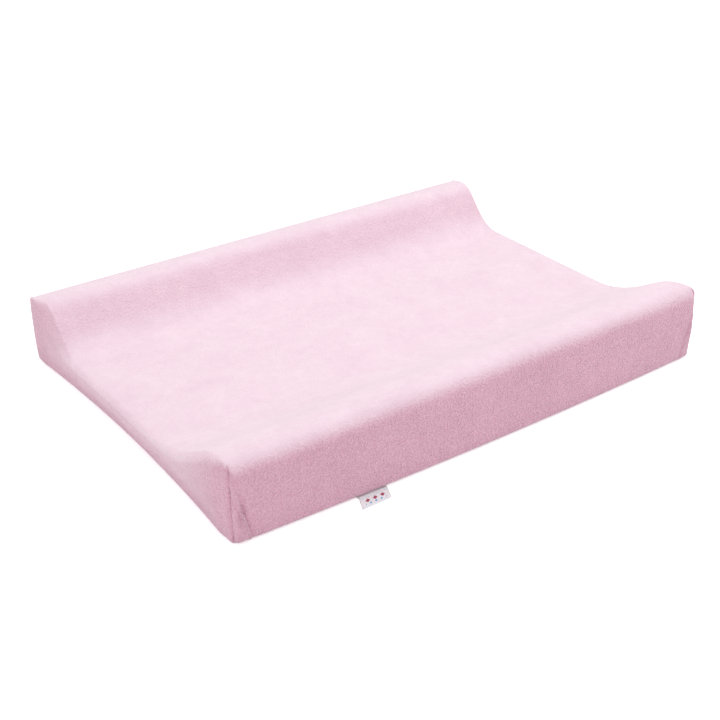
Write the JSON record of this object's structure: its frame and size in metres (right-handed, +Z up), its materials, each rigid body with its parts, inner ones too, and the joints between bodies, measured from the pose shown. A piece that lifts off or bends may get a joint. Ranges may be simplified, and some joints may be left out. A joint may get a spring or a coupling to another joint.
{
  "type": "changing pad",
  "caption": "Soft rectangular changing pad with raised long sides, in a fitted towelling cover with an elastic hem and a wipe-clean zipped liner.",
  "frame": {"origin": "middle of the flat underside of the hem, on the surface that the pad rests on", "axes": "+X along the pad's length, +Y across it to the back bank, +Z up from the surface"},
  "size_m": [0.7, 0.527, 0.098],
  "materials": {
    "cover": "pale pink cotton towelling, short soft pile",
    "hem": "pale pink knitted binding, gathered",
    "elastic": "white woven elastic",
    "foam": "off-white open-cell foam, matt",
    "liner": "white coated fabric, satin",
    "piping": "white coated piping, satin",
    "zip_tape": "white woven tape",
    "zip_teeth": "white moulded plastic",
    "zip_metal": "white painted metal",
    "tag": "white woven satin tape with a plain woven motif",
    "label": "blank white nylon label"
  },
  "bodies": {
    "pad": {"foam_base_slab": "foam", "foam_wedge_front": "foam", "foam_wedge_back": "foam", "liner_wrap_panel": "liner", "liner_end_panel_left": "liner", "liner_end_panel_right": "liner", "liner_piping_left": "piping", "liner_piping_right": "piping", "zip_tape_front": "zip_tape", "zip_tape_back": "zip_tape", "zip_teeth_front": "zip_teeth", "zip_teeth_back": "zip_teeth", "zip_top_stops": "zip_metal", "zip_bottom_stop": "zip_metal", "fitted_cover": "cover", "hem_binding": "hem", "hem_elastic": "elastic", "side_tag_root": "tag", "care_label": "label"},
    "slider": {"zip_slider": "zip_metal"},
    "pull": {"zip_pull": "zip_metal"},
    "tag": {"side_tag": "tag"}
  },
  "joints": [
    {"name": "zip_slide", "type": "slide", "parent": "pad", "child": "slider", "axis": [-1, 0, 0], "range_m": [0, 0.5]},
    {"name": "pull_swing", "type": "hinge", "parent": "slider", "child": "pull", "pos_m": [0.252, 0, 0.0054], "axis": [0, 1, 0], "range_deg": [0, 165]},
    {"name": "tag_fold", "type": "hinge", "parent": "pad", "child": "tag", "pos_m": [0, -0.258, 0.00055], "axis": [-1, 0, 0], "range_deg": [0, 80]}
  ]
}
